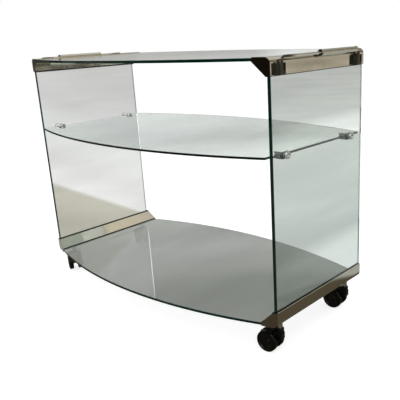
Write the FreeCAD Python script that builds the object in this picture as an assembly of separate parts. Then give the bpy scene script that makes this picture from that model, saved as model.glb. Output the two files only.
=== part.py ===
import FreeCAD, Part
import math
import os

# Serving trolley of plate glass: two glass sides, a bowed top plate, a bowed bottom plate and
# a bowed middle shelf, held by four mirror-bright corner rails with swing handles on the top
# rails and four twin-wheel casters under the bottom rails.
# Millimetres. Z = 0 is the floor, X runs along the trolley, Y from front to back,
# and the origin lies under the middle of the glass frame.

V = FreeCAD.Vector

# Overall sizes
frame_width = 825.0            # over the outer faces of the rails
side_depth = 330.0             # side glass, front edge to rear edge
rail_top_z = 628.0
rail_bottom_z = 78.0
overrun = 5.0                  # how far a cutting tool runs past its work

# Glass
side_glass_thickness = 8.0
plate_thickness = 6.0
shelf_thickness = 5.0
plate_bow = 72.0               # how far a plate's edge stands out past the sides, at the middle
plate_edge_radius = 1186.0
shelf_mid_z = 438.5
shelf_side_gap = 8.0           # between the shelf's end and the side glass
glass_arris = 0.6              # ground edge of every plate
tongue_clearance = 0.5         # plate's tongue to the end cap and to the slot's floor

# Corner rail, a hollow extrusion with a slot for the side glass and a slot for the plate
rail_wall = 1.5
rail_height = 34.0
rail_corner_radius = 12.0
strip_thickness = 1.2          # sealing strip between glass and rail
side_seat_v = 21.0             # side glass's lower edge, up from the rail's underside
plate_bite = 6.0
end_reach = 0.7                # rail's end past the side glass, at the outer face
end_skew_deg = 14.7            # the rail's ends follow the bowed plates
end_cap_thickness = 1.5
end_plug_depth = 10.0
end_plug_clearance = 0.15
strip_lip_run = 1.4            # how far the strip's lip lies down the rail's sloping face
strip_lip_height = 0.6

# Shelf clamps
clamp_from_edge = 46.0         # clamp centre from the side glass's front or rear edge
clamp_length = 25.5
clamp_width = 20.0
clamp_height = 15.0
clamp_edge_radius = 1.2
clamp_slot_spare = 1.5
clamp_pad_thickness = 0.8
clamp_pad_inset = 1.5
clamp_washer_thickness = 0.8
clamp_washer_radius = 7.4
clamp_cap_radius = 7.7
clamp_cap_height = 3.0
clamp_cap_edge = 1.0
clamp_cap_recess_radius = 3.8
clamp_cap_recess_depth = 1.2
clamp_stud_radius = 3.0
clamp_stud_grip = 4.0          # stud's length inside the clamp
clamp_stud_tip_gap = 0.5
clamp_glass_hole_radius = 4.0
grub_screw_radius = 2.5
grub_screw_from_tip = 8.0
grub_socket_radius = 1.25
grub_socket_depth = 1.8
fit_clearance = 0.05           # radial, where one round piece sits in another

# Swing handles
bracket_from_edge = 27.5       # the bail's leg from the side glass's edge
bracket_ahead = 13.4           # bracket's front face ahead of the leg's axis
bracket_height = 22.0
bracket_below_top = 12.0       # bracket's upper face under the rail's top face
bracket_edge_round = 0.8
bracket_back_thickness = 1.8   # between the rail and the leg's slot
bracket_cheek_thickness = 1.6  # behind the leg's slot
bracket_slot_foot = 4.0        # slot's floor above the bracket's foot
post_radius = 2.6
post_height = 3.0
post_from_front = 3.4          # post's axis from the bracket's front face
eye_side_gap = 0.3             # between the bail's eye and the slot's sides
stop_lip_width = 1.8
stop_gap = 0.3                 # between the stop lip and the leg that comes down on it
pivot_out = 6.0                # pivot axis from the rail's outer face
pivot_below_top = 24.0
pin_radius = 1.5
pin_head_radius = 2.3
pin_head_height = 0.8
pin_grip = 5.0                 # pin's length in the bracket's solid part
bail_rod_radius = 2.75
bail_eye_radius = 3.3
bail_eye_width = 5.6
bail_leg_length = 23.0         # pivot axis to the middle of the run
bail_bend_radius = 9.0
bail_lean_deg = 4.5            # at rest the bail leans in, over the rail's rounded edge
grip_length = 139.0            # over its two end rings
grip_radius = 6.6
grip_wall = 1.0
grip_ring_radius = 7.0
grip_ring_thickness = 3.0
grip_ring_round = 0.8
grip_plug_depth = 6.0
grip_bore_gap = 0.3            # radial, between the rod and an end ring that slides on it
grip_end_gap = 0.5             # left to the bend at each end of the grip's travel
left_grip_shift = -10.5        # where the left grip stands at rest, from the run's middle
bracket_screw_spacing = 5.6
bracket_screw_radius = 1.5
bracket_screw_bite = 6.5       # shank's length inside the bracket
bracket_screw_tip_gap = 0.5
bracket_screw_head_radius = 2.7
bracket_screw_head_height = 1.5
nut_plate_thickness = 2.0
nut_plate_height = 6.5
nut_plate_margin = 3.5
nut_plate_gap = 0.5            # to the wall over the side glass

# Casters
caster_from_edge = 33.5        # stem from the side glass's edge
caster_trail = 26.5            # stem axis to wheel axle, along the floor
wheel_radius = 25.0
wheel_width = 11.5
wheel_hood_gap = 0.5
wheel_outer_round = 2.5
wheel_inner_round = 1.0
wheel_rim_depth = 4.0
wheel_hub_radius = 7.5
wheel_pocket_depth = 6.0
wheel_face_radius = 19.5
wheel_face_recess = 1.2
wheel_face_slope = 1.0
wheel_cap_radius = 8.0
wheel_cap_recess = 0.3
wheel_face_cover = 2.5         # material outside the blind axle bore
axle_radius = 3.0
axle_end_gap = 0.4
hood_width = 14.0
hood_fender_radius = 27.0
hood_back_z = 19.0
hood_hub_radius = 9.0
hood_boss_half = 7.5
hood_boss_foot_z = 34.0
hood_edge_round = 1.0
boss_cap_radius = 8.5
boss_cap_z = 48.0
boss_top_z = 59.0
boss_cap_round = 1.5
stem_radius = 4.0
stem_neck_radius = 5.5
stem_neck_gap = 0.4
stem_bore_floor_z = 36.0
stem_end_gap = 0.5
stem_flange_radius = 7.5
stem_flange_height = 1.5
stem_tip_chamfer = 1.0
socket_radius = 7.0
socket_height = 12.5
socket_side_gap = 0.5          # to the chamber's inner wall
socket_foot_chamfer = 1.0      # clears the rail's rounded corner
left_caster_turn_deg = 155.0   # direction of the trail at rest, from +X
right_caster_turn_deg = 184.0

# Worked out from the sizes above
half_width = frame_width / 2
half_depth = side_depth / 2
skew_tan = math.tan(math.radians(end_skew_deg))
slot_u = rail_wall + side_glass_thickness + strip_thickness
slot_v = rail_wall + plate_thickness + strip_thickness
rail_reach = slot_u + rail_height - slot_v
plate_seat_u = rail_reach - plate_bite
caster_stem_inset = plate_seat_u - rail_wall - socket_side_gap - socket_radius
frame_mid_z = (rail_top_z + rail_bottom_z) / 2
side_outer_x = half_width - rail_wall
side_inner_x = side_outer_x - side_glass_thickness
shelf_half_length = side_inner_x - shelf_side_gap
plate_free_half = half_width - rail_reach
long_half = half_depth + plate_bow + overrun

clamp_y = half_depth - clamp_from_edge
clamp_root_x = side_inner_x - clamp_washer_thickness
clamp_tip_x = clamp_root_x - clamp_length
clamp_slot_half = shelf_thickness / 2 + clamp_pad_thickness
clamp_slot_end_x = shelf_half_length + clamp_slot_spare
grub_x = clamp_tip_x + grub_screw_from_tip

leg_y = half_depth - bracket_from_edge
pivot_x = half_width + pivot_out
pivot_z = rail_top_z - pivot_below_top
run_z = pivot_z + bail_leg_length
run_half = leg_y - bail_bend_radius
grip_half = grip_length / 2
right_grip_shift = run_half - grip_half - grip_end_gap    # pushed back against the rear bend
bracket_top_z = rail_top_z - bracket_below_top
bracket_foot_z = bracket_top_z - bracket_height
slot_inner_x = half_width + bracket_back_thickness
slot_half = bail_eye_width / 2 + eye_side_gap
stop_x = pivot_x + bail_rod_radius
bracket_outer_x = stop_x + stop_lip_width
screw_y = -(bracket_ahead + slot_half) / 2                # middle of the bracket's solid part
screw_z = rail_top_z - side_seat_v + rail_wall + nut_plate_gap + nut_plate_height / 2

caster_y = half_depth - caster_from_edge
hood_half = hood_width / 2
socket_floor_z = rail_bottom_z + rail_wall

os.makedirs("parts", exist_ok=True)


def save(name, shapes):
    solids = []
    for shape in shapes:
        solids.extend(shape.Solids)
    body = solids[0] if len(solids) == 1 else Part.makeCompound(solids)
    body.exportStep("parts/" + name + ".step")


def box(x0, x1, y0, y1, z0, z1):
    return Part.makeBox(x1 - x0, y1 - y0, z1 - z0, V(x0, y0, z0))


def cylinder(radius, start, axis, length):
    return Part.makeCylinder(radius, length, start, axis)


def prism(points, direction):
    return Part.Face(Part.makePolygon(points + points[:1])).extrude(direction)


def face_of(edges):
    return Part.Face(Part.Wire(Part.__sortEdges__(edges)))


def line(a, b):
    return Part.LineSegment(a, b).toShape()


def arc(a, middle, b):
    return Part.Arc(a, middle, b).toShape()


def mirrored(shape, across_x=False, across_y=False, across_mid_height=False):
    if across_x:
        shape = shape.mirror(V(0, 0, 0), V(1, 0, 0))
    if across_y:
        shape = shape.mirror(V(0, 0, 0), V(0, 1, 0))
    if across_mid_height:
        shape = shape.mirror(V(0, 0, frame_mid_z), V(0, 0, 1))
    return shape


# Glass plates

def edge_y(x):
    """Distance of a plate's bowed edge from the middle plane at x."""
    return half_depth + plate_bow - plate_edge_radius + math.sqrt(plate_edge_radius ** 2 - x ** 2)


def end_y(u):
    """Distance of a rail's skewed end from the middle plane, u inwards from its outer face."""
    return half_depth + end_reach + u * skew_tan


def bowed_outline(half_length, z):
    front, back = -edge_y(half_length), edge_y(half_length)
    corners = [V(-half_length, front, z), V(half_length, front, z),
               V(half_length, back, z), V(-half_length, back, z)]
    return corners, [arc(corners[0], V(0, -edge_y(0), z), corners[1]),
                     arc(corners[2], V(0, edge_y(0), z), corners[3])]


def with_arris(plate, z0, z1):
    rim = [edge for edge in plate.Edges
           if abs(edge.BoundBox.ZMin - edge.BoundBox.ZMax) < fit_clearance
           and min(abs(edge.BoundBox.ZMin - z0), abs(edge.BoundBox.ZMin - z1)) < fit_clearance]
    return plate.makeChamfer(glass_arris, rim)


def make_shelf():
    low = shelf_mid_z - shelf_thickness / 2
    corners, arcs = bowed_outline(shelf_half_length, low)
    sides = [line(corners[1], corners[2]), line(corners[3], corners[0])]
    plate = face_of(arcs + sides).extrude(V(0, 0, shelf_thickness))
    return with_arris(plate, low, low + shelf_thickness)


def make_bottom_plate():
    """Bowed plate whose two ends are narrower tongues that slide into the rails."""
    low = rail_bottom_z + rail_wall
    corners, arcs = bowed_outline(plate_free_half, low)
    tongue_u = plate_seat_u + tongue_clearance
    tongue_x = half_width - tongue_u
    root_y = end_y(rail_reach) - tongue_clearance
    tip_y = end_y(tongue_u) - tongue_clearance
    edges = list(arcs)
    for side in (-1, 1):
        path = [V(side * plate_free_half, -edge_y(plate_free_half), low),
                V(side * plate_free_half, -root_y, low), V(side * tongue_x, -tip_y, low),
                V(side * tongue_x, tip_y, low), V(side * plate_free_half, root_y, low),
                V(side * plate_free_half, edge_y(plate_free_half), low)]
        edges.extend(line(a, b) for a, b in zip(path, path[1:]))
    return face_of(edges).extrude(V(0, 0, plate_thickness))


def make_side_glass():
    low = rail_bottom_z + side_seat_v
    high = rail_top_z - side_seat_v
    glass = box(side_inner_x, side_outer_x, -half_depth, half_depth, low, high)
    upright = [edge for edge in glass.Edges
               if edge.BoundBox.ZMax - edge.BoundBox.ZMin > side_glass_thickness]
    glass = glass.makeChamfer(glass_arris, upright)
    for y in (-clamp_y, clamp_y):
        start = V(side_inner_x - overrun, y, shelf_mid_z)
        length = side_glass_thickness + overrun + overrun
        glass = glass.cut(cylinder(clamp_glass_hole_radius, start, V(1, 0, 0), length))
    return glass


# Corner rail, drawn for the bottom right corner; u runs inwards from the outer face and v up
# from the underside. The other three are its mirror images.

def rail_point(u, v):
    return V(half_width - u, -long_half, rail_bottom_z + v)


def rail_edges(points, inner_radius):
    """Closed outline: straight lines through the points, then the rounded outer corner."""
    centre = rail_corner_radius
    turn = inner_radius * math.sqrt(0.5)
    edges = [line(rail_point(*a), rail_point(*b)) for a, b in zip(points, points[1:])]
    edges.append(arc(rail_point(*points[-1]), rail_point(centre - turn, centre - turn),
                     rail_point(*points[0])))
    return edges


def along_rail(edges):
    return face_of(edges).extrude(V(0, long_half + long_half, 0))


def outer_points(with_slots):
    points = [(rail_corner_radius, 0), (rail_reach, 0)]
    if with_slots:
        points += [(rail_reach, rail_wall), (plate_seat_u, rail_wall), (plate_seat_u, slot_v)]
    points += [(rail_reach, slot_v), (slot_u, rail_height)]
    if with_slots:
        points += [(slot_u, side_seat_v), (rail_wall, side_seat_v), (rail_wall, rail_height)]
    return points + [(0, rail_height), (0, rail_corner_radius)]


def chamber_points(inset):
    wall = rail_wall + inset
    slope_sum = slot_u + rail_height - wall * math.sqrt(2)
    return [(rail_corner_radius, wall), (plate_seat_u - wall, wall),
            (plate_seat_u - wall, slot_v + wall), (slope_sum - slot_v - wall, slot_v + wall),
            (slot_u + wall, slope_sum - slot_u - wall), (slot_u + wall, side_seat_v - wall),
            (wall, side_seat_v - wall), (wall, rail_corner_radius)]


def between_ends(inner, outer):
    """Upright block between two lines parallel to the rail's skewed front end."""
    near = -overrun
    far = rail_reach + overrun
    low = V(0, 0, rail_bottom_z - overrun)
    points = [V(half_width - near, -end_y(near) - outer, 0) + low,
              V(half_width - far, -end_y(far) - outer, 0) + low,
              V(half_width - far, -end_y(far) - inner, 0) + low,
              V(half_width - near, -end_y(near) - inner, 0) + low]
    return prism(points, V(0, 0, rail_height + overrun + overrun))


def trimmed_to_length(bar):
    near = -overrun
    far = rail_reach + overrun
    low = V(0, 0, rail_bottom_z - overrun)
    points = [V(half_width - near, -end_y(near), 0) + low, V(half_width - far, -end_y(far), 0) + low,
              V(half_width - far, end_y(far), 0) + low, V(half_width - near, end_y(near), 0) + low]
    return bar.common(prism(points, V(0, 0, rail_height + overrun + overrun)))


def make_rail():
    skin = along_rail(rail_edges(outer_points(True), rail_corner_radius))
    chamber = along_rail(rail_edges(chamber_points(0), rail_corner_radius - rail_wall))
    return trimmed_to_length(skin.cut(chamber))


def make_end_caps():
    skin = along_rail(rail_edges(outer_points(False), rail_corner_radius))
    inset_radius = rail_corner_radius - rail_wall - end_plug_clearance
    plug = along_rail(rail_edges(chamber_points(end_plug_clearance), inset_radius))
    thickness = end_cap_thickness / math.cos(math.radians(end_skew_deg))
    front = skin.common(between_ends(0, thickness))
    front = front.fuse(plug.common(between_ends(-end_plug_depth, 0))).removeSplitter()
    return [front, mirrored(front, across_y=True)]


def make_strips():
    """Sealing strips whose lips show along both edges of the rail's sloping face."""
    run = strip_lip_run
    rise = strip_lip_run + strip_lip_height
    glass_u = slot_u - strip_thickness
    glass_v = slot_v - strip_thickness
    side_strip = [(glass_u, side_seat_v), (slot_u, side_seat_v), (slot_u, rail_height),
                  (slot_u + run, rail_height - run),
                  (slot_u + run + strip_lip_height, rail_height - run + strip_lip_height),
                  (glass_u + strip_lip_height, rail_height + rise), (glass_u, rail_height + rise)]
    plate_strip = [(plate_seat_u, glass_v), (plate_seat_u, slot_v), (rail_reach, slot_v),
                   (rail_reach - run, slot_v + run),
                   (rail_reach - run + strip_lip_height, slot_v + run + strip_lip_height),
                   (rail_reach + rise, glass_v + strip_lip_height), (rail_reach + rise, glass_v)]
    strips = []
    for outline in (side_strip, plate_strip):
        bar = prism([rail_point(u, v) for u, v in outline], V(0, long_half + long_half, 0))
        strips.append(trimmed_to_length(bar))
    return strips


# Shelf clamps, drawn for the right side

def clamp_block(inset, root_x, z0, z1):
    """Plan of the clamp: straight from the glass, with a half-round tip."""
    half = clamp_width / 2 - inset
    centre_x = clamp_tip_x + clamp_width / 2
    root = [V(root_x, -half, z0), V(root_x, half, z0)]
    tip = [V(centre_x, half, z0), V(centre_x - half, 0, z0), V(centre_x, -half, z0)]
    edges = [line(root[0], root[1]), line(root[1], tip[0]), arc(*tip), line(tip[2], root[0])]
    return face_of(edges).extrude(V(0, 0, z1 - z0))


def make_clamp():
    half = clamp_height / 2
    block = clamp_block(0, clamp_root_x, shelf_mid_z - half, shelf_mid_z + half)
    rim = [edge for edge in block.Edges if edge.BoundBox.ZMax - edge.BoundBox.ZMin < fit_clearance
           and edge.BoundBox.XMin < clamp_root_x - fit_clearance]
    block = block.makeFillet(clamp_edge_radius, rim)
    block = block.cut(box(clamp_tip_x - overrun, clamp_slot_end_x, -clamp_width, clamp_width,
                          shelf_mid_z - clamp_slot_half, shelf_mid_z + clamp_slot_half))
    stud_depth = clamp_stud_grip + clamp_stud_tip_gap
    block = block.cut(cylinder(clamp_stud_radius + fit_clearance,
                               V(clamp_root_x - stud_depth, 0, shelf_mid_z),
                               V(1, 0, 0), stud_depth))
    return block.cut(cylinder(grub_screw_radius + fit_clearance,
                              V(grub_x, 0, shelf_mid_z - half - overrun), V(0, 0, 1),
                              half + overrun - clamp_slot_half))


def make_clamp_pads():
    lower = shelf_mid_z - clamp_slot_half
    upper = shelf_mid_z + shelf_thickness / 2
    return [clamp_block(clamp_pad_inset, shelf_half_length, z, z + clamp_pad_thickness)
            for z in (lower, upper)]


def make_grub_screw():
    foot_z = shelf_mid_z - clamp_height / 2
    screw = cylinder(grub_screw_radius, V(grub_x, 0, foot_z), V(0, 0, 1),
                     clamp_height / 2 - clamp_slot_half)
    return screw.cut(cylinder(grub_socket_radius, V(grub_x, 0, foot_z), V(0, 0, 1),
                              grub_socket_depth))


def make_clamp_cap():
    """Disc outside the side glass, with the stud that goes through to the clamp."""
    start_x = side_outer_x + clamp_washer_thickness
    disc = cylinder(clamp_cap_radius, V(start_x, 0, shelf_mid_z), V(1, 0, 0), clamp_cap_height)
    rim = [edge for edge in disc.Edges if edge.BoundBox.XMin > start_x + clamp_cap_height / 2]
    disc = disc.makeFillet(clamp_cap_edge, rim)
    recess_x = start_x + clamp_cap_height - clamp_cap_recess_depth
    disc = disc.cut(cylinder(clamp_cap_recess_radius, V(recess_x, 0, shelf_mid_z), V(1, 0, 0),
                             clamp_cap_recess_depth))
    stud_x = clamp_root_x - clamp_stud_grip
    return disc.fuse(cylinder(clamp_stud_radius, V(stud_x, 0, shelf_mid_z), V(1, 0, 0),
                              start_x - stud_x))


def make_clamp_washers():
    washers = []
    for start_x in (clamp_root_x, side_outer_x):
        ring = cylinder(clamp_washer_radius, V(start_x, 0, shelf_mid_z), V(1, 0, 0),
                        clamp_washer_thickness)
        washers.append(ring.cut(cylinder(clamp_stud_radius + fit_clearance,
                                         V(start_x, 0, shelf_mid_z), V(1, 0, 0),
                                         clamp_washer_thickness)))
    return washers


# Swing handle, drawn for the right side. A bracket is drawn with the bail's leg at Y = 0.

def make_bracket():
    """Block on the rail's outer face, slotted for the leg, with a stop lip and a post."""
    block = box(half_width, bracket_outer_x, -bracket_ahead, slot_half + bracket_cheek_thickness,
                bracket_foot_z, bracket_top_z)
    rounded = [edge for edge in block.Edges if edge.BoundBox.XMin > half_width + fit_clearance]
    block = block.makeFillet(bracket_edge_round, rounded)
    high_z = bracket_top_z + overrun
    block = block.cut(box(slot_inner_x, stop_x, -slot_half, slot_half,
                          bracket_foot_z + bracket_slot_foot, high_z))
    block = block.cut(box(slot_inner_x, bracket_outer_x + overrun, -slot_half, slot_half,
                          pivot_z - bail_rod_radius - stop_gap, high_z))
    post_x = (half_width + bracket_outer_x) / 2
    post_foot_z = bracket_top_z - bracket_edge_round
    block = block.fuse(cylinder(post_radius, V(post_x, post_from_front - bracket_ahead, post_foot_z),
                                V(0, 0, 1), bracket_edge_round + post_height)).removeSplitter()
    block = block.cut(cylinder(pin_radius + fit_clearance, V(pivot_x, -slot_half - pin_grip, pivot_z),
                               V(0, 1, 0), pin_grip + slot_half + slot_half + bracket_cheek_thickness))
    depth = bracket_screw_bite + bracket_screw_tip_gap
    for y in screw_places():
        block = block.cut(cylinder(bracket_screw_radius + fit_clearance, V(half_width, y, screw_z),
                                   V(1, 0, 0), depth))
    return block


def screw_places():
    return (screw_y - bracket_screw_spacing / 2, screw_y + bracket_screw_spacing / 2)


def make_pin():
    """Pivot pin, pressed in from behind the bracket."""
    head_y = slot_half + bracket_cheek_thickness
    start_y = -slot_half - pin_grip
    pin = cylinder(pin_radius, V(pivot_x, start_y, pivot_z), V(0, 1, 0), head_y - start_y)
    head = cylinder(pin_head_radius, V(pivot_x, head_y, pivot_z), V(0, 1, 0), pin_head_height)
    return pin.fuse(head)


def make_bracket_screws():
    """Screws from inside the rail, through the backing plate and into the bracket."""
    seat_x = half_width - rail_wall - nut_plate_thickness
    screws = []
    for y in screw_places():
        shank = cylinder(bracket_screw_radius, V(seat_x, y, screw_z), V(1, 0, 0),
                         half_width + bracket_screw_bite - seat_x)
        head = cylinder(bracket_screw_head_radius, V(seat_x - bracket_screw_head_height, y, screw_z),
                        V(1, 0, 0), bracket_screw_head_height)
        screws.append(shank.fuse(head))
    return screws


def make_nut_plate():
    outer_x = half_width - rail_wall
    half = bracket_screw_spacing / 2 + nut_plate_margin
    plate = box(outer_x - nut_plate_thickness, outer_x, screw_y - half, screw_y + half,
                screw_z - nut_plate_height / 2, screw_z + nut_plate_height / 2)
    for y in screw_places():
        plate = plate.cut(cylinder(bracket_screw_radius + fit_clearance,
                                   V(outer_x - nut_plate_thickness, y, screw_z),
                                   V(1, 0, 0), nut_plate_thickness))
    return plate


def bracket_holes():
    holes = []
    for side in (-1, 1):
        for y in screw_places():
            holes.append(cylinder(bracket_screw_radius + fit_clearance,
                                  V(half_width - rail_wall - overrun, side * leg_y + y, screw_z),
                                  V(1, 0, 0), rail_wall + overrun + overrun))
    return holes


def leaned(shape):
    """Tip an upright handle piece inwards about the pivot axis."""
    shape.rotate(V(pivot_x, 0, pivot_z), V(0, 1, 0), -bail_lean_deg)
    return shape


def make_bail():
    """One bent rod: two legs, two bends and the long run, with an eye at each foot."""
    leg_top_z = run_z - bail_bend_radius
    rod = cylinder(bail_rod_radius, V(pivot_x, -run_half, run_z), V(0, 1, 0), run_half + run_half)
    for side in (-1, 1):
        foot = V(pivot_x, side * leg_y, pivot_z)
        leg_top = V(pivot_x, side * leg_y, leg_top_z)
        section = Part.Face(Part.Wire([Part.Circle(leg_top, V(0, 0, 1), bail_rod_radius).toShape()]))
        rod = rod.fuse(section.revolve(V(pivot_x, side * run_half, leg_top_z), V(side, 0, 0), 90))
        rod = rod.fuse(cylinder(bail_rod_radius, foot, V(0, 0, 1), leg_top_z - pivot_z))
        start = foot - V(0, bail_eye_width / 2, 0)
        rod = rod.fuse(cylinder(bail_eye_radius, start, V(0, 1, 0), bail_eye_width))
        rod = rod.cut(cylinder(pin_radius + fit_clearance, start, V(0, 1, 0), bail_eye_width))
    return leaned(rod)


def run_cylinder(radius, start_y, length):
    return cylinder(radius, V(pivot_x, start_y, run_z), V(0, 1, 0), length)


def make_grip_tube():
    """Tube of the sliding grip, drawn at the middle of the run."""
    half = grip_half - grip_ring_thickness
    tube = run_cylinder(grip_radius, -half, half + half)
    return leaned(tube.cut(run_cylinder(grip_radius - grip_wall, -half, half + half)))


def make_grip_rings():
    """Rings that plug the tube's ends and slide on the rod."""
    ring = run_cylinder(grip_ring_radius, -grip_half, grip_ring_thickness)
    rims = [edge for edge in ring.Edges if edge.BoundBox.YMax - edge.BoundBox.YMin < fit_clearance]
    ring = ring.makeFillet(grip_ring_round, rims)
    plug_radius = grip_radius - grip_wall - fit_clearance
    ring = ring.fuse(run_cylinder(plug_radius, -grip_half, grip_ring_thickness + grip_plug_depth))
    ring = ring.cut(run_cylinder(bail_rod_radius + grip_bore_gap, -grip_half - overrun,
                                 overrun + grip_ring_thickness + grip_plug_depth + overrun))
    ring = leaned(ring)
    return [ring, mirrored(ring, across_y=True)]


# Twin-wheel caster, drawn with its stem on the Z axis and its trail towards +X

def make_wheel(side):
    """Revolved about the axle: tread, rim, inner pocket, dished outer face and hub."""
    inner = hood_half + wheel_hood_gap
    outer = inner + wheel_width
    rim_r = wheel_radius - wheel_rim_depth
    bore_r = axle_radius + fit_clearance
    pocket = inner + wheel_pocket_depth
    dish = outer - wheel_face_recess
    cap = outer - wheel_cap_recess
    bore_end = outer - wheel_face_cover

    def at(r, y):
        return V(caster_trail + r, side * y, wheel_radius)

    inner_mid = wheel_inner_round * (1 - math.sqrt(0.5))
    outer_mid = wheel_outer_round * (1 - math.sqrt(0.5))
    rounds = [arc(at(wheel_radius - wheel_inner_round, inner),
                  at(wheel_radius - inner_mid, inner + inner_mid),
                  at(wheel_radius, inner + wheel_inner_round)),
              arc(at(wheel_radius, outer - wheel_outer_round),
                  at(wheel_radius - outer_mid, outer - outer_mid),
                  at(wheel_radius - wheel_outer_round, outer))]
    first = [(wheel_radius - wheel_outer_round, outer), (wheel_face_radius, outer),
             (wheel_face_radius - wheel_face_slope, dish), (wheel_cap_radius, dish),
             (wheel_cap_radius - wheel_face_slope, cap), (0, cap), (0, bore_end),
             (bore_r, bore_end), (bore_r, inner), (wheel_hub_radius, inner),
             (wheel_hub_radius, pocket), (rim_r, pocket), (rim_r, inner),
             (wheel_radius - wheel_inner_round, inner)]
    edges = [line(at(*a), at(*b)) for a, b in zip(first, first[1:])]
    edges.append(line(at(wheel_radius, inner + wheel_inner_round),
                      at(wheel_radius, outer - wheel_outer_round)))
    face = face_of(edges + rounds)
    return face.revolve(V(caster_trail, 0, wheel_radius), V(0, 1, 0), 360)


def make_hood():
    """Body between the wheels: fender over the tyres, hub for the axle, boss for the stem."""

    def at(x, z):
        return V(x, -hood_half, z)

    def fender(angle_deg):
        angle = math.radians(angle_deg)
        return at(caster_trail + hood_fender_radius * math.cos(angle),
                  wheel_radius + hood_fender_radius * math.sin(angle))

    start_angle = math.degrees(math.acos((hood_boss_half - caster_trail) / hood_fender_radius))
    end_angle = math.degrees(math.asin((hood_back_z - wheel_radius) / hood_fender_radius))
    hub_low = wheel_radius - hood_hub_radius
    hub_turn = hood_hub_radius * math.sqrt(0.5)
    hub_front = at(caster_trail - hub_turn, wheel_radius - hub_turn)
    hub_back = at(caster_trail + hub_turn, wheel_radius - hub_turn)
    edges = [line(at(-hood_boss_half, hood_boss_foot_z), at(-hood_boss_half, boss_cap_z)),
             line(at(-hood_boss_half, boss_cap_z), at(hood_boss_half, boss_cap_z)),
             line(at(hood_boss_half, boss_cap_z), fender(start_angle)),
             arc(fender(start_angle), fender((start_angle + end_angle) / 2), fender(end_angle)),
             line(fender(end_angle), hub_back),
             arc(hub_back, at(caster_trail, hub_low), hub_front),
             line(hub_front, at(-hood_boss_half, hood_boss_foot_z))]
    body = face_of(edges).extrude(V(0, hood_width, 0))
    rims = [edge for edge in body.Edges
            if edge.BoundBox.YMax - edge.BoundBox.YMin < fit_clearance
            and edge.BoundBox.ZMin < boss_cap_z - fit_clearance]
    body = body.makeFillet(hood_edge_round, rims)
    boss = cylinder(boss_cap_radius, V(0, 0, boss_cap_z), V(0, 0, 1), boss_top_z - boss_cap_z)
    rim = [edge for edge in boss.Edges if edge.BoundBox.ZMin > boss_top_z - fit_clearance]
    body = body.fuse(boss.makeFillet(boss_cap_round, rim)).removeSplitter()
    body = body.cut(cylinder(stem_radius + fit_clearance, V(0, 0, stem_bore_floor_z),
                             V(0, 0, 1), boss_top_z + overrun - stem_bore_floor_z))
    return body.cut(cylinder(axle_radius, V(caster_trail, -hood_half, wheel_radius),
                             V(0, 1, 0), hood_width))


def make_axle():
    half = hood_half + wheel_hood_gap + wheel_width - wheel_face_cover - axle_end_gap
    return cylinder(axle_radius, V(caster_trail, -half, wheel_radius), V(0, 1, 0), half + half)


def make_stem():
    """Pin that the hood turns on, with a neck, a flange under the rail and a gripping end."""
    low = stem_bore_floor_z + stem_end_gap
    neck_z = boss_top_z + stem_neck_gap
    top_z = socket_floor_z + socket_height - rail_wall - stem_end_gap
    stem = cylinder(stem_radius, V(0, 0, low), V(0, 0, 1), top_z - low)
    ends = [edge for edge in stem.Edges
            if edge.BoundBox.ZMax - edge.BoundBox.ZMin < fit_clearance]
    stem = stem.makeChamfer(stem_tip_chamfer, ends)
    stem = stem.fuse(cylinder(stem_neck_radius, V(0, 0, neck_z), V(0, 0, 1),
                              rail_bottom_z - neck_z))
    stem = stem.fuse(cylinder(stem_flange_radius, V(0, 0, rail_bottom_z - stem_flange_height),
                              V(0, 0, 1), stem_flange_height))
    return stem.removeSplitter()


def make_socket():
    socket = cylinder(socket_radius, V(0, 0, socket_floor_z), V(0, 0, 1), socket_height)
    foot = [edge for edge in socket.Edges if edge.BoundBox.ZMax < socket_floor_z + fit_clearance]
    socket = socket.makeChamfer(socket_foot_chamfer, foot)
    return socket.cut(cylinder(stem_radius + fit_clearance, V(0, 0, socket_floor_z), V(0, 0, 1),
                               socket_height - rail_wall))


def placed(shape, x, y, turn_deg=0):
    copy = shape.copy()
    copy.rotate(V(0, 0, 0), V(0, 0, 1), turn_deg)
    copy.translate(V(x, y, 0))
    return copy


# Assembly

def save_glass():
    bottom = make_bottom_plate()
    save("bottom_glass", [bottom])
    save("top_glass", [mirrored(bottom, across_mid_height=True)])
    save("middle_shelf_glass", [make_shelf()])
    side = make_side_glass()
    save("right_side_glass", [side])
    save("left_side_glass", [mirrored(side, across_x=True)])


def save_rails():
    rail = make_rail()
    caps = make_end_caps()
    strips = make_strips()
    stem_x = half_width - caster_stem_inset
    stem_holes = [cylinder(stem_radius + fit_clearance, V(stem_x, y, rail_bottom_z - overrun),
                           V(0, 0, 1), overrun + rail_wall + overrun)
                  for y in (-caster_y, caster_y)]
    bottom = rail.cut(Part.makeCompound(stem_holes))
    top = mirrored(rail, across_mid_height=True).cut(Part.makeCompound(bracket_holes()))
    for is_left, side_name in ((False, "right"), (True, "left")):
        save("bottom_" + side_name + "_rail", [mirrored(bottom, across_x=is_left)])
        save("top_" + side_name + "_rail", [mirrored(top, across_x=is_left)])
        for is_top, level in ((False, "bottom"), (True, "top")):
            name = level + "_" + side_name
            save(name + "_end_caps", [mirrored(cap, is_left, False, is_top) for cap in caps])
            save(name + "_strips", [mirrored(strip, is_left, False, is_top) for strip in strips])


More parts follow.
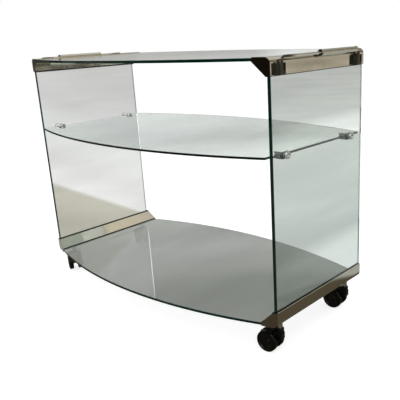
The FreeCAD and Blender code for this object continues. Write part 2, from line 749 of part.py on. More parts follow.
def save_clamps():
    clamp = make_clamp()
    groups = {"clamp_pads": make_clamp_pads(), "clamp_grub_screws": [make_grub_screw()],
              "clamp_caps": [make_clamp_cap()], "clamp_washers": make_clamp_washers()}
    gathered = {name: [] for name in groups}
    for is_left, side_name in ((False, "right"), (True, "left")):
        for y, end_name in ((-clamp_y, "front"), (clamp_y, "rear")):
            save(side_name + "_" + end_name + "_shelf_clamp",
                 [mirrored(placed(clamp, 0, y), across_x=is_left)])
            for name, pieces in groups.items():
                gathered[name] += [mirrored(placed(piece, 0, y), across_x=is_left)
                                   for piece in pieces]
    for name, pieces in gathered.items():
        save(name, pieces)


def save_handles():
    bracket, pin = make_bracket(), make_pin()
    screws, nut_plate = make_bracket_screws(), make_nut_plate()
    bail, tube, rings = make_bail(), make_grip_tube(), make_grip_rings()
    all_screws, all_nut_plates = [], []
    for is_left, side_name, shift in ((False, "right", right_grip_shift),
                                      (True, "left", left_grip_shift)):
        brackets, pins = [], []
        for y in (-leg_y, leg_y):
            brackets.append(mirrored(placed(bracket, 0, y), across_x=is_left))
            pins.append(mirrored(placed(pin, 0, y), across_x=is_left))
            all_screws += [mirrored(placed(screw, 0, y), across_x=is_left) for screw in screws]
            all_nut_plates.append(mirrored(placed(nut_plate, 0, y), across_x=is_left))
        save(side_name + "_handle_brackets", brackets)
        save(side_name + "_handle_pins", pins)
        save(side_name + "_handle_bail", [mirrored(bail, across_x=is_left)])
        save(side_name + "_handle_grip", [mirrored(placed(tube, 0, shift), across_x=is_left)])
        save(side_name + "_handle_grip_rings",
             [mirrored(placed(ring, 0, shift), across_x=is_left) for ring in rings])
    save("bracket_screws", all_screws)
    save("bracket_nut_plates", all_nut_plates)


def save_casters():
    pieces = {"hood": make_hood(), "axle": make_axle(), "stem": make_stem(),
              "near_wheel": make_wheel(1), "far_wheel": make_wheel(-1)}
    sockets = []
    for side, side_name, turn in ((-1, "left", left_caster_turn_deg),
                                  (1, "right", right_caster_turn_deg)):
        for end, end_name in ((-1, "front"), (1, "rear")):
            x, y = side * (half_width - caster_stem_inset), end * caster_y
            for piece_name, piece in pieces.items():
                save(side_name + "_" + end_name + "_caster_" + piece_name,
                     [placed(piece, x, y, turn)])
            sockets.append(placed(make_socket(), x, y))
    save("caster_sockets", sockets)


save_glass()
save_rails()
save_clamps()
save_handles()
save_casters()
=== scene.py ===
import bpy
import math
from mathutils import Matrix, Vector


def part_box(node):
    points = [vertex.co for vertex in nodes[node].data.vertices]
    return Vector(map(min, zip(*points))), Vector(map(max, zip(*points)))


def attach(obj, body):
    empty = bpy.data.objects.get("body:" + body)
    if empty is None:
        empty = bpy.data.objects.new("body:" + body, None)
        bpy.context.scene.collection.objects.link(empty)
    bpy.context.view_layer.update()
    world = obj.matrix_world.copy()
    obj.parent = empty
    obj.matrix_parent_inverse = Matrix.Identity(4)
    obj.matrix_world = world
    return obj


# Serving trolley of plate glass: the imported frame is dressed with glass, bright metal and black
# plastic. Metres, Z up, the floor at Z = 0, the bowed front edge towards -Y.

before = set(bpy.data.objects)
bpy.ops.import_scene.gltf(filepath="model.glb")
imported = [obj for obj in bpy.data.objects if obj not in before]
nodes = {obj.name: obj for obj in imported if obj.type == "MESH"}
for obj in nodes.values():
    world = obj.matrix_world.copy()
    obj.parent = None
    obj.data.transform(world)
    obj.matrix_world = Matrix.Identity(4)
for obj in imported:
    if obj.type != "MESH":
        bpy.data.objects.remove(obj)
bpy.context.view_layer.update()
scene = bpy.context.scene
sides = ("left", "right")
ends = ("front", "rear")


# Camera: at the photograph's place and angle, turns in degrees
cameraSettings = {
    "place": (1.0859, -1.0096, 0.6716),
    "yaw": 41.53,
    "pitch": -17.49,
    "roll": -2.55,
    "lens": 51.88,
    "sensor": 36.0,
    "shift": (-0.1161, 0.0357),
}


def makeCamera(settings):
    data = bpy.data.cameras.new("camera")
    data.sensor_width = settings["sensor"]
    data.lens = settings["lens"]
    data.shift_x, data.shift_y = settings["shift"]
    camera = bpy.data.objects.new("camera", data)
    turn = Matrix.Rotation(math.radians(settings["yaw"]), 4, "Z")
    tilt = Matrix.Rotation(math.radians(90 + settings["pitch"]), 4, "X")
    lean = Matrix.Rotation(math.radians(settings["roll"]), 4, "Z")
    camera.matrix_world = Matrix.Translation(settings["place"]) @ turn @ tilt @ lean
    scene.collection.objects.link(camera)
    scene.camera = camera


makeCamera(cameraSettings)
scene.view_settings.view_transform = "Standard"
print("camera placed")


# Small helpers for node trees: a value is a number, a colour or another node's output
def feed(tree, socket, value):
    if isinstance(value, bpy.types.NodeSocket):
        tree.links.new(value, socket)
    else:
        socket.default_value = value


def addNode(tree, kind, values=None, **settings):
    node = tree.nodes.new(kind)
    for name, value in settings.items():
        setattr(node, name, value)
    for name, value in (values or {}).items():
        feed(tree, node.inputs[name], value)
    return node


def put(tree, kind, values=None, **settings):
    return addNode(tree, "ShaderNode" + kind, values, **settings)


def grey(level):
    return (level, level, level, 1.0)


def scaled(colour, factor):
    return tuple(factor * part for part in colour[:3]) + (1,)


def objectPoint(tree):
    return put(tree, "TexCoord").outputs["Object"]


def objectNormal(tree):
    return put(tree, "TexCoord").outputs["Normal"]


def objectAxes(tree):
    return put(tree, "SeparateXYZ", {"Vector": objectPoint(tree)}).outputs


def stretched(tree, scale, turn=(0.0, 0.0, 0.0)):
    mapping = put(tree, "Mapping", {"Vector": objectPoint(tree), "Scale": scale, "Rotation": turn})
    return mapping.outputs["Vector"]


def noise(tree, point, scale, detail, roughness=0.5, distortion=0.0):
    node = put(tree, "TexNoise", {
        "Vector": point, "Scale": scale, "Detail": detail, "Roughness": roughness, "Distortion": distortion})
    return node.outputs["Fac"]


def ranged(tree, value, low, high, toLow=0.0, toHigh=1.0, kind="SMOOTHSTEP"):
    node = put(tree, "MapRange", {"Value": value}, interpolation_type=kind)
    for name, number in (("From Min", low), ("From Max", high), ("To Min", toLow), ("To Max", toHigh)):
        feed(tree, node.inputs[name], number)
    return node.outputs["Result"]


def mixed(tree, factor, first, second, blend="MIX"):
    node = put(tree, "Mix", data_type="RGBA", blend_type=blend)
    for index, value in ((0, factor), (6, first), (7, second)):  # a Mix node's colour sockets
        feed(tree, node.inputs[index], value)
    return node.outputs[2]


def calc(tree, operation, first, second=0.0):
    node = put(tree, "Math", operation=operation)
    feed(tree, node.inputs[0], first)
    feed(tree, node.inputs[1], second)
    return node.outputs[0]


def times(tree, first, second):
    return calc(tree, "MULTIPLY", first, second)


def dot(tree, first, second):
    node = put(tree, "VectorMath", operation="DOT_PRODUCT")
    feed(tree, node.inputs[0], first)
    feed(tree, node.inputs[1], second)
    return node.outputs["Value"]


def ramp(tree, value, stops):
    node = put(tree, "ValToRGB", {"Fac": value})
    elements = node.color_ramp.elements
    node.color_ramp.interpolation = "EASE"
    for index, (place, colour) in enumerate(stops):
        element = elements[index] if index < 2 else elements.new(place)  # a new ramp has two stops
        element.position = place
        element.color = colour
    return node.outputs


def greyRamp(tree, value, stops):
    return ramp(tree, value, [(place, grey(level)) for place, level in stops])["Color"]


def newGroup(name, inputs, outputs):
    group = bpy.data.node_groups.new(name, "ShaderNodeTree")
    for label, kind, value in inputs:
        socket = group.interface.new_socket(label, in_out="INPUT", socket_type="NodeSocket" + kind)
        socket.default_value = value
    for label, kind in outputs:
        group.interface.new_socket(label, in_out="OUTPUT", socket_type="NodeSocket" + kind)
    return group, group.nodes.new("NodeGroupInput").outputs, group.nodes.new("NodeGroupOutput").inputs


def use(tree, group, values):
    node = tree.nodes.new("ShaderNodeGroup")
    node.node_tree = group
    for name, value in values.items():
        feed(tree, node.inputs[name], value)
    return node.outputs


# Handling marks: broad wiped areas, and fine dust specks over them
handlingSettings = {
    "scale": 9.0,
    "detail": 5.0,
    "swirl": 1.2,
    "wiped": (0.42, 0.72),
    "speck scale": 420.0,
    "speck detail": 1.0,
    "speck share": 0.2,
    "fewest specks from": 0.78,
    "share weight": 0.3,
    "speck border": 0.06,
}


def makeHandlingGroup(settings):
    group, given, out = newGroup(
        "handling marks",
        [("scale", "Float", settings["scale"]),
         ("speck scale", "Float", settings["speck scale"]),
         ("speck share", "Float", settings["speck share"])],
        [("marks", "Float"), ("specks", "Float")])
    point = objectPoint(group)
    broad = noise(group, point, given["scale"], settings["detail"], distortion=settings["swirl"])
    feed(group, out["marks"], ranged(group, broad, *settings["wiped"]))
    fine = noise(group, point, given["speck scale"], settings["speck detail"])
    share = times(group, given["speck share"], settings["share weight"])
    low = calc(group, "SUBTRACT", settings["fewest specks from"], share)
    high = calc(group, "ADD", low, settings["speck border"])
    feed(group, out["specks"], ranged(group, fine, low, high))
    return group


# Polishing lines that run along one axis of the piece
polishSettings = {"stretch": (1.0, 60.0, 60.0), "scale": 30.0, "detail": 2.0, "lines": (0.35, 0.75)}


def makePolishGroup(settings):
    group, given, out = newGroup(
        "polishing lines",
        [("stretch", "Vector", settings["stretch"]), ("scale", "Float", settings["scale"])],
        [("lines", "Float"), ("height", "Float")])
    lines = noise(group, stretched(group, given["stretch"]), given["scale"], settings["detail"])
    feed(group, out["height"], lines)
    feed(group, out["lines"], ranged(group, lines, *settings["lines"]))
    return group


# How far a face turns away from the plate's own flat faces: 1 on its ground edges, 0 on the flats
edgeSettings = {"edge below": 0.8, "flat above": 0.97}


def makeEdgeGroup(settings):
    group, given, out = newGroup(
        "glass edge", [("flat axis", "Vector", (0.0, 0.0, 1.0))], [("edge", "Float")])
    facing = calc(group, "ABSOLUTE", dot(group, objectNormal(group), given["flat axis"]))
    feed(group, out["edge"], ranged(group, facing, settings["edge below"], settings["flat above"], 1.0, 0.0))
    return group


handlingGroup = makeHandlingGroup(handlingSettings)
polishGroup = makePolishGroup(polishSettings)
edgeGroup = makeEdgeGroup(edgeSettings)


def newMaterial(name):
    material = bpy.data.materials.new(name)
    material.use_nodes = True
    tree = material.node_tree
    tree.nodes.clear()
    shader = put(tree, "BsdfPrincipled")
    output = put(tree, "OutputMaterial", {"Surface": shader.outputs["BSDF"]})
    return material, tree, shader, output


def bump(tree, shader, height, strength, distance):
    node = put(tree, "Bump", {"Height": height, "Strength": strength, "Distance": distance})
    feed(tree, shader.inputs["Normal"], node.outputs["Normal"])


# Glass: each plate has a tint, and all but the top plate also have painted shade and painted reflection whose
# tones change along one direction, at "shift" plus the place
flatPlate = (0, 0, 1)
uprightPlate = (1, 0, 0)
glassSettings = {
    "top_glass": {
        "axis": flatPlate, "glow": 0.3,
        "tintAndPaintedShade": ((0.0, (0.70, 0.76, 0.74, 1)),)},
    "middle_shelf_glass": {
        "axis": flatPlate, "glow": 0.4, "along": (1.0, 0.0, 0.0), "shift": 0.5,
        "tintAndPaintedShade": (
            (0.20, (0.85, 0.925, 0.895, 1)), (0.50, (0.77, 0.83, 0.81, 1)),
            (0.66, (0.68, 0.735, 0.71, 1)), (0.85, (0.66, 0.715, 0.69, 1)))},
    "bottom_glass": {
        "axis": flatPlate, "glow": 0.3, "clear": 0.5, "along": (1.0, -0.5, 0.0), "shift": 0.5,
        "tintAndPaintedShade": (
            (0.14, (0.52, 0.54, 0.51, 1)), (0.30, (0.425, 0.442, 0.42, 1)),
            (0.58, (0.40, 0.415, 0.39, 1)), (0.78, (0.36, 0.378, 0.352, 1)))},
    "left_side_glass": {
        "axis": uprightPlate, "glow": 1.0, "along": (0.0, 0.55, 1.0), "shift": 0.0,
        "tintAndPaintedShade": (
            (0.06, (0.41, 0.40, 0.335, 1)), (0.182, (0.50, 0.49, 0.42, 1)),
            (0.198, (0.74, 0.745, 0.73, 1)), (0.27, (0.67, 0.675, 0.66, 1)),
            (0.38, (0.71, 0.725, 0.71, 1)), (0.46, (0.62, 0.625, 0.62, 1)),
            (0.60, (0.56, 0.565, 0.56, 1)))},
    "right_side_glass": {
        "axis": uprightPlate, "glow": 1.0, "along": (0.0, 0.0, 1.0), "shift": 0.0,
        "tintAndPaintedShade": (
            (0.12, (0.62, 0.675, 0.645, 1)), (0.19, (0.61, 0.67, 0.63, 1)),
            (0.235, (0.435, 0.48, 0.455, 1)), (0.34, (0.49, 0.545, 0.51, 1)),
            (0.436, (0.48, 0.525, 0.495, 1)), (0.449, (0.79, 0.84, 0.80, 1)),
            (0.475, (0.73, 0.78, 0.745, 1)), (0.505, (0.50, 0.53, 0.51, 1)),
            (0.57, (0.46, 0.485, 0.465, 1)))},
}
# What all plates share: "rim" darkens a side glass right at its upright edges, by distance from its
# middle, and "flash" is a painted highlight: an upright edge glows where another piece mirrors it, by height
glassFinish = {
    "edge": (0.0, 0.010, 0.0065, 1),
    # the edge glow is a painted glow: an emission on the ground edges
    "edge glow": (0.0, 0.011, 0.007, 1),  # light that the plate guides to its edges
    "ior": 1.5,
    "clean": 0.0,
    "wiped": 0.035,
    "mark scale": 6.0,
    "speck weight": 6.0,
    "lamp light": 0.82,  # share of a lamp's light that a plate lets through
    "streaks": {"stretch": (9.0, 2.2, 16.0), "turn": (0.35, 0.0, 0.0), "scale": 1.0, "detail": 4.0,
                "seen": (0.35, 0.7), "tone": 0.90},
    "rim": {"from": 0.162, "to": 0.1645, "tone": 0.5},
    "flash": {"strength": 4.0, "facing": (0.6, 0.9),
              "heights": ((0.105, 0.0), (0.16, 1.0), (0.41, 1.0), (0.45, 0.4))},
}


def glassTintAndShade(tree, settings):
    tintAndPaintedShade = settings["tintAndPaintedShade"]
    tintAndShade = tintAndPaintedShade[0][1]
    # painted shade and painted reflection: the tones change along one direction over the plate
    if len(tintAndPaintedShade) > 1:
        reach = dot(tree, objectPoint(tree), settings["along"])
        tintAndShade = ramp(tree, calc(tree, "ADD", reach, settings["shift"]), tintAndPaintedShade)["Color"]
    streaks = glassFinish["streaks"]
    point = stretched(tree, streaks["stretch"], streaks["turn"])
    streak = ranged(tree, noise(tree, point, streaks["scale"], streaks["detail"]), *streaks["seen"])
    tintAndShade = mixed(tree, streak, tintAndShade, grey(streaks["tone"]), "MULTIPLY")
    if settings["axis"] == uprightPlate:
        rim = glassFinish["rim"]
        reach = calc(tree, "ABSOLUTE", objectAxes(tree)["Y"])
        share = ranged(tree, reach, rim["from"], rim["to"])
        tintAndShade = mixed(tree, share, tintAndShade, grey(rim["tone"]), "MULTIPLY")
    return tintAndShade


def glassGlow(tree, settings):
    glow = scaled(glassFinish["edge glow"], settings["glow"])
    if settings["axis"] == uprightPlate:
        # painted highlight: the upright edges glow for rays that another piece mirrored
        flash = glassFinish["flash"]
        facing = calc(tree, "ABSOLUTE", dot(tree, objectNormal(tree), (0.0, 1.0, 0.0)))
        upright = times(tree, ranged(tree, facing, *flash["facing"]),
                        greyRamp(tree, objectAxes(tree)["Z"], flash["heights"]))
        path = put(tree, "LightPath").outputs
        bounced = calc(tree, "MINIMUM", path["Glossy Depth"], 1.0)
        mirrored = times(tree, bounced, path["Is Transmission Ray"])
        glow = mixed(tree, times(tree, mirrored, upright), glow, grey(flash["strength"]))
    return glow


def makeGlass(name, settings):
    material, tree, shader, output = newMaterial(name)
    edge = use(tree, edgeGroup, {"flat axis": settings["axis"]})["edge"]
    handling = use(tree, handlingGroup, {"scale": glassFinish["mark scale"]})
    marks = calc(tree, "ADD", handling["marks"], times(tree, handling["specks"], glassFinish["speck weight"]))
    feed(tree, shader.inputs["Base Color"],
         mixed(tree, edge, glassTintAndShade(tree, settings), glassFinish["edge"]))
    feed(tree, shader.inputs["Emission Color"],
         mixed(tree, edge, grey(0.0), glassGlow(tree, settings)))
    feed(tree, shader.inputs["Roughness"],
         ranged(tree, marks, 0.0, 1.0, glassFinish["clean"], glassFinish["wiped"]))
    shader.inputs["Emission Strength"].default_value = 1.0
    shader.inputs["IOR"].default_value = glassFinish["ior"]
    shader.inputs["Transmission Weight"].default_value = settings.get("clear", 1.0)
    clear = put(tree, "BsdfTransparent", {"Color": grey(glassFinish["lamp light"])})
    choice = put(tree, "MixShader", {"Fac": put(tree, "LightPath").outputs["Is Shadow Ray"]})
    feed(tree, choice.inputs[1], shader.outputs["BSDF"])
    feed(tree, choice.inputs[2], clear.outputs["BSDF"])
    feed(tree, output.inputs["Surface"], choice.outputs["Shader"])
    return material


# Bright metal: colour, gloss and polishing lines of each finish. The dark sides are painted reflection: faces
# that don't look the bright way are darkened; the dark ends are painted dark reflection on the legs and bends
# at the two ends of the piece.
metalSettings = {
    "rail chrome": {
        "colour": (0.55, 0.53, 0.46, 1), "gloss": 0.06, "worn": 0.16, "stretch": (60, 1, 60)},
    "end cap chrome": {
        "colour": (0.34, 0.31, 0.26, 1), "gloss": 0.08, "worn": 0.2, "stretch": (60, 60, 1)},
    "clamp cap chrome": {
        "colour": (0.50, 0.50, 0.48, 1), "gloss": 0.05, "worn": 0.12, "stretch": (1, 60, 60)},
    # the left and right clamp chromes are one chrome with different painted reflection: a painted highlight
    # towards -Y and slightly up on the left clamps and on the right clamps' tops, and painted dark reflection
    # on their other faces
    "left clamp chrome": {
        "colour": (1.0, 1.0, 0.99, 1), "gloss": 0.1, "worn": 0.2, "stretch": (1, 60, 60),
        "painted dark sides": {"bright": (0.0, -1.0, 0.3), "reach": (0.35, 0.8), "colour": (0.38, 0.38, 0.37, 1)}},
    "right clamp chrome": {
        "colour": (0.94, 0.94, 0.92, 1), "gloss": 0.08, "worn": 0.2, "stretch": (1, 60, 60),
        "painted dark sides": {"bright": (0.0, 0.0, 1.0), "reach": (0.25, 0.8), "colour": (0.07, 0.068, 0.058, 1)}},
    # painted dark reflection on the bail's legs and bends
    "bail steel": {
        "colour": (0.62, 0.60, 0.56, 1), "gloss": 0.06, "worn": 0.2, "stretch": (60, 1, 60),
        "painted dark ends": {"reach": (0.085, 0.118), "colour": (0.07, 0.062, 0.05, 1)}},
    "stem chrome": {
        "colour": (0.72, 0.72, 0.70, 1), "gloss": 0.06, "worn": 0.18, "stretch": (60, 60, 1)},
    "grip satin": {
        "colour": (0.52, 0.51, 0.44, 1), "gloss": 0.24, "worn": 0.36, "stretch": (60, 1, 60)},
    "zinc steel": {
        "colour": (0.50, 0.50, 0.48, 1), "gloss": 0.25, "worn": 0.4, "stretch": (60, 60, 1)},
}
metalFinish = {
    "mark scale": 14.0,
    "mark share": 0.5,
    "dulled": 0.8,
    "line strength": 0.04,
    "line depth": 0.0002,
}


def makeMetal(name, settings):
    material, tree, shader, output = newMaterial(name)
    colour = settings["colour"]
    handling = use(tree, handlingGroup, {"scale": metalFinish["mark scale"]})
    polish = use(tree, polishGroup, {"stretch": settings["stretch"]})
    marks = times(tree, handling["marks"], metalFinish["mark share"])
    tone = mixed(tree, marks, colour, scaled(colour, metalFinish["dulled"]))
    # painted reflection: the faces that don't look the bright way get a dark colour
    if "painted dark sides" in settings:
        dark = settings["painted dark sides"]
        facing = dot(tree, objectNormal(tree), dark["bright"])
        tone = mixed(tree, ranged(tree, facing, *dark["reach"]), dark["colour"], tone)
    # painted dark reflection at the two ends of the piece
    if "painted dark ends" in settings:
        dark = settings["painted dark ends"]
        reach = calc(tree, "ABSOLUTE", objectAxes(tree)["Y"])
        tone = mixed(tree, ranged(tree, reach, *dark["reach"]), tone, dark["colour"])
    feed(tree, shader.inputs["Base Color"], tone)
    worn = times(tree, handling["marks"], polish["lines"])
    feed(tree, shader.inputs["Roughness"], ranged(tree, worn, 0.0, 1.0, settings["gloss"], settings["worn"]))
    shader.inputs["Metallic"].default_value = 1.0
    bump(tree, shader, polish["height"], metalFinish["line strength"], metalFinish["line depth"])
    return material


# Black and clear plastics and rubber
plasticSettings = {
    "strip rubber": {"colour": (0.012, 0.013, 0.011, 1), "rough": 0.45, "grain": 900.0, "depth": 0.2},
    "bracket black": {
        "colour": (0.02, 0.019, 0.010, 1), "rough": 0.3, "grain": 500.0, "depth": 0.02, "shine": 0.25},
    "caster black": {
        "colour": (0.003, 0.003, 0.003, 1), "rough": 0.14, "grain": 400.0, "depth": 0.02, "shine": 0.3},
    "wheel black": {
        "colour": (0.002, 0.002, 0.002, 1), "rough": 0.16, "grain": 400.0, "depth": 0.02, "shine": 0.3},
    "clear washer": {"colour": (0.75, 0.78, 0.76, 1), "rough": 0.35, "grain": 500.0, "depth": 0.05},
    "socket nylon": {"colour": (0.62, 0.62, 0.58, 1), "rough": 0.4, "grain": 500.0, "depth": 0.08},
}
plasticFinish = {
    "mark scale": 25.0,
    "mark share": 0.5,
    "dusted": 1.4,
    "dust": 0.003,
    "worn": 0.15,
    "grain detail": 2.0,
    "grain depth": 0.0002,
}


def makePlastic(name, settings):
    material, tree, shader, output = newMaterial(name)
    finish = plasticFinish
    handling = use(tree, handlingGroup, {"scale": finish["mark scale"]})
    grain = noise(tree, objectPoint(tree), settings["grain"], finish["grain detail"])
    dusty = [min(1.0, part * finish["dusted"] + finish["dust"]) for part in settings["colour"][:3]] + [1]
    marks = times(tree, handling["marks"], finish["mark share"])
    feed(tree, shader.inputs["Base Color"], mixed(tree, marks, settings["colour"], dusty))
    feed(tree, shader.inputs["Roughness"],
         ranged(tree, handling["marks"], 0.0, 1.0, settings["rough"], settings["rough"] + finish["worn"]))
    shader.inputs["Specular IOR Level"].default_value = settings.get("shine", 0.5)
    bump(tree, shader, grain, settings["depth"], finish["grain depth"])
    return material


glasses = {name: makeGlass(name.replace("_", " "), settings) for name, settings in glassSettings.items()}
metals = {name: makeMetal(name, settings) for name, settings in metalSettings.items()}
plastics = {name: makePlastic(name, settings) for name, settings in plasticSettings.items()}
print("materials made:", len(glasses) + len(metals) + len(plastics))


def dress(nodeName, material):
    mesh = nodes[nodeName].data
    mesh.materials.clear()
    mesh.materials.append(material)


def dressFrame():
    for name, material in glasses.items():
        dress(name, material)
    for level in ("top", "bottom"):
        for side in sides:
            dress(f"{level}_{side}_rail", metals["rail chrome"])
            dress(f"{level}_{side}_end_caps", metals["end cap chrome"])
            dress(f"{level}_{side}_strips", plastics["strip rubber"])
    for side in sides:
        for end in ends:
            dress(f"{side}_{end}_shelf_clamp", metals[side + " clamp chrome"])
    dress("clamp_caps", metals["clamp cap chrome"])
    dress("clamp_washers", plastics["clear washer"])
    dress("clamp_pads", plastics["clear washer"])
    dress("clamp_grub_screws", metals["zinc steel"])
    dress("caster_sockets", plastics["socket nylon"])


def dressHandles():
    for side in sides:
        dress(f"{side}_handle_brackets", plastics["bracket black"])
        dress(f"{side}_handle_pins", metals["zinc steel"])
        dress(f"{side}_handle_bail", metals["bail steel"])
        dress(f"{side}_handle_grip", metals["grip satin"])
        dress(f"{side}_handle_grip_rings", metals["end cap chrome"])
    dress("bracket_screws", metals["zinc steel"])
    dress("bracket_nut_plates", metals["zinc steel"])


def dressCasters():
    for side in sides:
        for end in ends:
            caster = f"{side}_{end}_caster"
            dress(caster + "_stem", metals["stem chrome"])
            dress(caster + "_hood", plastics["caster black"])
            dress(caster + "_axle", metals["zinc steel"])
            dress(caster + "_near_wheel", plastics["wheel black"])
            dress(caster + "_far_wheel", plastics["wheel black"])


dressFrame()
dressHandles()
dressCasters()
print("frame dressed")


def meshObject(name, points, faces):
    mesh = bpy.data.meshes.new(name)
    mesh.from_pydata(points, [], faces)
    piece = bpy.data.objects.new(name, mesh)
    scene.collection.objects.link(piece)
    return piece


# Low ribs round the cap of each wheel, in the shallow dish of its outer face
ribSettings = {
    "count": 9,
    "ring radius": 0.0132,
    "half sizes": (0.0038, 0.0009, 0.0008),  # length outwards, width, height
    "out from middle": 0.00455,
    "segments": 16,
    "rings": 8,
}


def makeRibTree(settings):
    tree = bpy.data.node_groups.new("wheel ribs", "GeometryNodeTree")
    sockets = {}
    for label, kind in (("count", "Int"), ("ring radius", "Float"), ("rib half sizes", "Vector"),
                        ("place", "Vector"), ("turn", "Rotation"), ("finish", "Material")):
        socket = tree.interface.new_socket(label, in_out="INPUT", socket_type="NodeSocket" + kind)
        sockets[label] = socket.identifier
    tree.interface.new_socket("ribs", in_out="OUTPUT", socket_type="NodeSocketGeometry")
    given = tree.nodes.new("NodeGroupInput").outputs
    ring = addNode(tree, "GeometryNodeMeshCircle", {
        "Vertices": given["count"], "Radius": given["ring radius"]})
    rib = addNode(tree, "GeometryNodeMeshUVSphere", {
        "Segments": settings["segments"], "Rings": settings["rings"], "Radius": 1.0})
    place = addNode(tree, "GeometryNodeInputPosition")
    outward = addNode(tree, "FunctionNodeAlignRotationToVector", {"Vector": place.outputs[0]}, axis="X")
    spread = addNode(tree, "GeometryNodeInstanceOnPoints", {
        "Points": ring.outputs[0], "Instance": rib.outputs["Mesh"],
        "Rotation": outward.outputs[0], "Scale": given["rib half sizes"]})
    moved = addNode(tree, "GeometryNodeTransform", {
        "Geometry": spread.outputs[0], "Translation": given["place"], "Rotation": given["turn"]})
    real = addNode(tree, "GeometryNodeRealizeInstances", {"Geometry": moved.outputs[0]})
    smooth = addNode(tree, "GeometryNodeSetShadeSmooth", {"Geometry": real.outputs[0]})
    finished = addNode(tree, "GeometryNodeSetMaterial", {
        "Geometry": smooth.outputs[0], "Material": given["finish"]})
    feed(tree, tree.nodes.new("NodeGroupOutput").inputs[0], finished.outputs[0])
    return tree, sockets


def middle(nodeName):
    low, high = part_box(nodeName)
    return Vector([(a + b) / 2 for a, b in zip(low, high)])


def makeRibs(caster, which, settings, tree, sockets):
    wheel = f"{caster}_{which}_wheel"
    outward = (middle(wheel) - middle(caster + "_axle")).normalized()
    host = meshObject(wheel + "_ribs", [], [])
    modifier = host.modifiers.new("ribs", "NODES")
    modifier.node_group = tree
    for label, value in (
            ("count", settings["count"]),
            ("ring radius", settings["ring radius"]),
            ("rib half sizes", list(settings["half sizes"])),
            ("place", list(middle(wheel) + settings["out from middle"] * outward)),
            ("turn", list(outward.to_track_quat("Z", "Y").to_euler())),
            ("finish", plastics["wheel black"])):
        modifier[sockets[label]] = value
    bpy.context.view_layer.update()
    shape = bpy.data.meshes.new_from_object(host.evaluated_get(bpy.context.evaluated_depsgraph_get()))
    host.modifiers.clear()
    host.data = shape
    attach(host, wheel)


ribTree, ribSockets = makeRibTree(ribSettings)
for side in sides:
    for end in ends:
        for which in ("near", "far"):
            makeRibs(f"{side}_{end}_caster", which, ribSettings, ribTree, ribSockets)
print("wheel ribs made")


# Studio: white surroundings and a pale floor, both white only to rays that see or mirror them
studioSettings = {
    "floor half": 14.0,
    "floor colour": (0.42, 0.42, 0.42, 1),
    "floor roughness": 0.9,
    "floor lift": 0.78,
    "world light": 0.62,
}


def whiteWhereSeen(tree):
    path = put(tree, "LightPath").outputs
    seen = calc(tree, "MAXIMUM", path["Is Camera Ray"], path["Is Glossy Ray"])
    return calc(tree, "MAXIMUM", seen, path["Is Transmission Ray"])


def makeWorld(settings):
    world = bpy.data.worlds.new("white studio")
    world.use_nodes = True
    tree = world.node_tree
    tree.nodes.clear()
    strength = ranged(tree, whiteWhereSeen(tree), 0.0, 1.0, settings["world light"], 1.0, "LINEAR")
    background = put(tree, "Background", {"Color": grey(1.0), "Strength": strength})
    put(tree, "OutputWorld", {"Surface": background.outputs["Background"]})
    scene.world = world


def makeFloor(settings):
    half = settings["floor half"]
    corners = [(x * half, y * half, 0) for x, y in ((-1, -1), (1, -1), (1, 1), (-1, 1))]
    floor = meshObject("floor", corners, [(0, 1, 2, 3)])
    material, tree, shader, output = newMaterial("pale floor")
    shader.inputs["Base Color"].default_value = settings["floor colour"]
    shader.inputs["Roughness"].default_value = settings["floor roughness"]
    shader.inputs["Specular IOR Level"].default_value = 0.0
    shader.inputs["Emission Color"].default_value = grey(1.0)
    feed(tree, shader.inputs["Emission Strength"], times(tree, whiteWhereSeen(tree), settings["floor lift"]))
    floor.data.materials.append(material)


# Surround that only bright metal and glass mirror: a dome of walls round a disc of floor, whose dark colour
# near the middle and in front of its "front line" is painted shade. Wall colours go by share of a full turn,
# from +X by way of +Y, and alpha 0 leaves the white room open. "heights" dims the walls by height over
# radius, "bands" are level streaks in their lower part.
surroundSettings = {
    "radius": 3.0,
    "columns": 64,
    "rows": 14,
    "brightness": 2.0,
    "walls": (
        (0.00, (0.62, 0.57, 0.48, 1)), (0.18, (0.62, 0.57, 0.48, 1)), (0.26, (0.50, 0.50, 0.48, 1)),
        (0.335, (0.75, 0.77, 0.75, 1)), (0.354, (0.49, 0.49, 0.47, 1)), (0.45, (0.50, 0.50, 0.48, 1)),
        (0.48, (0.09, 0.09, 0.08, 1)), (0.53, (0.09, 0.09, 0.08, 1)), (0.56, (0.30, 0.29, 0.25, 1)),
        (0.63, (0.25, 0.24, 0.2, 1)), (0.67, (0.02, 0.016, 0.011, 1)), (0.82, (0.02, 0.016, 0.011, 1)),
        (0.85, (0.5, 0.5, 0.5, 0)), (0.92, (0.5, 0.5, 0.5, 0)), (0.96, (0.62, 0.57, 0.48, 1))),
    "heights": (
        (0.0, 0.5), (0.235, 0.5), (0.25, 0.56), (0.28, 0.47), (0.315, 0.30), (0.345, 0.55), (0.36, 0.72),
        (0.41, 0.44), (0.45, 0.08), (0.5, 0.06), (0.6, 0.35), (0.8, 0.8), (1.0, 0.8)),
    "bands": {"stretch": (2.2, 2.2, 42.0), "scale": 1.0, "detail": 4.0, "roughness": 0.6,
              "spread": (0.36, 0.64), "weak": 0.6, "strong": 1.42, "fade": (0.60, 0.68)},
    "top fade": (2.75, 2.99),
    "floor height": 0.001,
    "painted floor shade": (0.13, 0.11, 0.075, 1),
    "floor far": (0.60, 0.62, 0.58, 1),
    "far from": (0.59, 0.62),
    "front line": (-0.55, -0.30),
}


def onlyMirrored(piece):
    for way in ("camera", "diffuse", "transmission", "volume_scatter", "shadow"):
        setattr(piece, "visible_" + way, False)


def ringPoints(radius, columns, rise):
    turns = [2 * math.pi * column / columns for column in range(columns)]
    return [(radius * math.cos(rise) * math.cos(turn), radius * math.cos(rise) * math.sin(turn),
             radius * math.sin(rise)) for turn in turns]


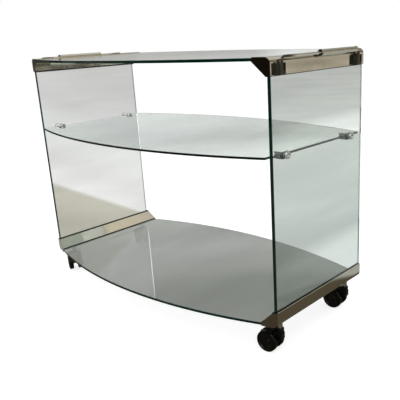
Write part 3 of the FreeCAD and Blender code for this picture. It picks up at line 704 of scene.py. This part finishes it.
def wallLight(tree, settings):
    place = objectAxes(tree)
    turn = calc(tree, "ARCTAN2", place["Y"], place["X"])
    share = calc(tree, "FLOORED_MODULO", calc(tree, "DIVIDE", turn, 2 * math.pi), 1.0)
    walls = ramp(tree, share, settings["walls"])
    heights = greyRamp(tree, calc(tree, "DIVIDE", place["Z"], settings["radius"]), settings["heights"])
    colour = mixed(tree, 1.0, walls["Color"], heights, "MULTIPLY")
    bands = settings["bands"]
    point = stretched(tree, bands["stretch"])
    level = ranged(tree, noise(tree, point, bands["scale"], bands["detail"], bands["roughness"]),
                   *bands["spread"], bands["weak"], bands["strong"])
    low = ranged(tree, place["Z"], *bands["fade"], 1.0, 0.0)
    banded = calc(tree, "ADD", 1.0, times(tree, low, calc(tree, "SUBTRACT", level, 1.0)))
    light = put(tree, "Emission", {"Color": colour, "Strength": times(tree, banded, settings["brightness"])})
    solid = times(tree, walls["Alpha"], ranged(tree, place["Z"], *settings["top fade"], 1.0, 0.0))
    return light, solid


def makeWalls(settings):
    columns, rows = settings["columns"], settings["rows"]
    points = []
    for row in range(rows):
        points += ringPoints(settings["radius"], columns, math.pi / 2 * row / rows)
    faces = [(row * columns + column, row * columns + (column + 1) % columns,
              (row + 1) * columns + (column + 1) % columns, (row + 1) * columns + column)
             for row in range(rows - 1) for column in range(columns)]
    dome = meshObject("surround", points, faces)
    material, tree, shader, output = newMaterial("surround")
    light, solid = wallLight(tree, settings)
    choice = put(tree, "MixShader", {"Fac": solid})
    feed(tree, choice.inputs[1], put(tree, "BsdfTransparent").outputs["BSDF"])
    feed(tree, choice.inputs[2], light.outputs["Emission"])
    feed(tree, output.inputs["Surface"], choice.outputs["Shader"])
    dome.data.materials.append(material)
    onlyMirrored(dome)


def makeMirroredFloor(settings):
    columns = settings["columns"]
    points = [(x, y, settings["floor height"]) for x, y, z in ringPoints(settings["radius"], columns, 0.0)]
    disc = meshObject("mirroredFloor", points, [tuple(range(columns))])
    material, tree, shader, output = newMaterial("mirrored floor")
    reach = put(tree, "VectorMath", operation="LENGTH")
    feed(tree, reach.inputs[0], objectPoint(tree))
    far = ranged(tree, reach.outputs["Value"], *settings["far from"])
    behind = ranged(tree, objectAxes(tree)["Y"], *settings["front line"])
    # painted shade: the disc is dark near the middle and in front of the front line
    colour = mixed(tree, times(tree, far, behind), settings["painted floor shade"], settings["floor far"])
    feed(tree, output.inputs["Surface"], put(tree, "Emission", {"Color": colour}).outputs["Emission"])
    disc.data.materials.append(material)
    onlyMirrored(disc)


# Soft square lamps that look at the origin
lampSettings = [
    {"name": "keyLamp", "place": (1.6, -1.6, 2.4), "size": 1.6, "watts": 28.0, "mirrored": True},
    {"name": "fillLamp", "place": (-1.9, -1.2, 1.9), "size": 1.8, "watts": 16.0, "mirrored": True},
    {"name": "rearLamp", "place": (0.2, 2.0, 2.3), "size": 2.0, "watts": 18.0, "mirrored": False},
]


def makeLamp(settings):
    data = bpy.data.lights.new(settings["name"], "AREA")
    data.shape = "SQUARE"
    data.size = settings["size"]
    data.energy = settings["watts"]
    lamp = bpy.data.objects.new(settings["name"], data)
    lamp.visible_glossy = lamp.visible_transmission = settings["mirrored"]
    turn = (-Vector(settings["place"])).to_track_quat("-Z", "Y").to_matrix().to_4x4()
    lamp.matrix_world = Matrix.Translation(settings["place"]) @ turn
    scene.collection.objects.link(lamp)


makeWorld(studioSettings)
makeFloor(studioSettings)
makeWalls(surroundSettings)
makeMirroredFloor(surroundSettings)
for lampSetting in lampSettings:
    makeLamp(lampSetting)
print("studio set")
